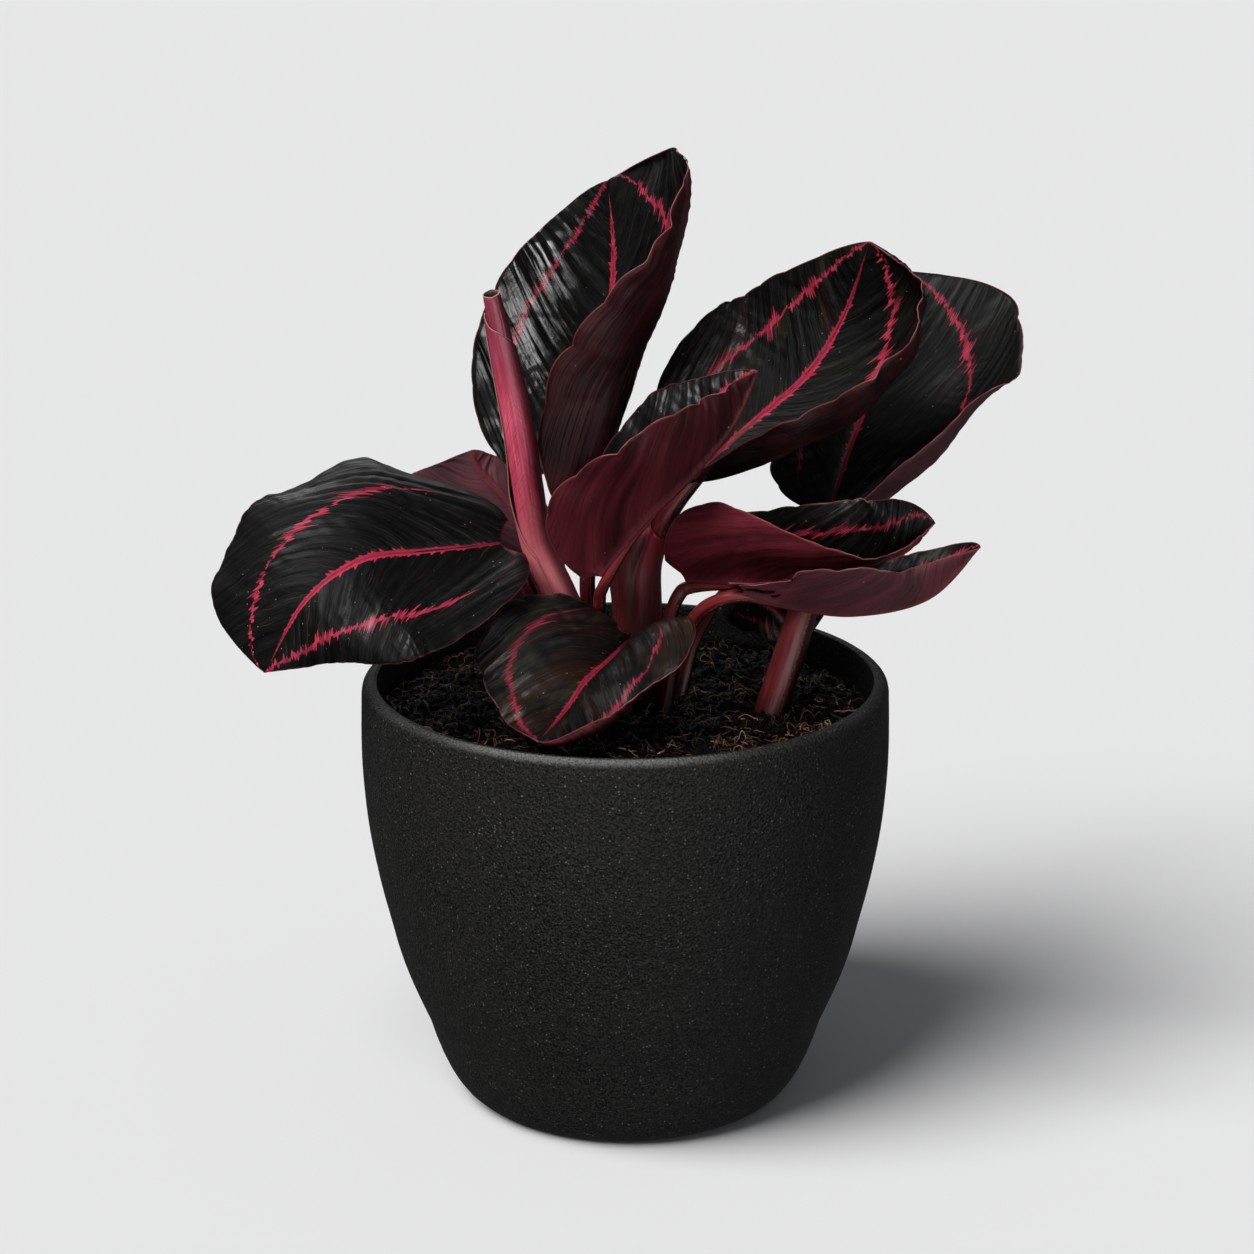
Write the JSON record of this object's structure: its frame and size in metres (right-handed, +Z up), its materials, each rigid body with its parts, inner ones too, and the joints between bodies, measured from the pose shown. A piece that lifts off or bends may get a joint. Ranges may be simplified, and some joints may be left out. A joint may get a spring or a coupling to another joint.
{
  "type": "potted foliage plant",
  "caption": "Dark leaved foliage plant with pink marked, waved leaves on wine red stalks, growing in soil in a round matt black pot with a rounded foot.",
  "frame": {"origin": "centre of the pot's flat base, on the surface it stands on", "axes": "+Z up along the pot's axis, +X to the right and +Y to the back as seen from the front of the plant"},
  "size_m": [0.2715, 0.1806, 0.3259],
  "materials": {
    "pot": "matt black with a fine even stipple",
    "soil": "dark crumbly peat with pale fibres and bark chips",
    "blade": "satin near black leaf face with a jagged pink ring and midrib, dull burgundy underneath",
    "stalk": "smooth satin wine red leaf stalk",
    "rolled_leaf": "satin bright pink underside of a new leaf",
    "sheath": "satin crimson leaf sheath"
  },
  "bodies": {
    "root": {"pot": "pot", "soil": "soil", "left_leaf_blade": "blade", "left_leaf_stalk": "stalk", "back_left_leaf_blade": "blade", "back_left_leaf_stalk": "stalk", "tall_leaf_blade": "blade", "tall_leaf_stalk": "stalk", "folded_leaf_blade": "blade", "folded_leaf_stalk": "stalk", "right_leaf_blade": "blade", "right_leaf_stalk": "stalk", "back_right_leaf_blade": "blade", "back_right_leaf_stalk": "stalk", "low_right_leaf_blade": "blade", "low_right_leaf_stalk": "stalk", "boat_leaf_blade": "blade", "boat_leaf_stalk": "stalk", "small_leaf_blade": "blade", "small_leaf_stalk": "stalk", "front_leaf_blade": "blade", "front_leaf_stalk": "stalk", "rolled_leaf": "rolled_leaf", "stalk_sheath": "sheath"}
  },
  "joints": []
}
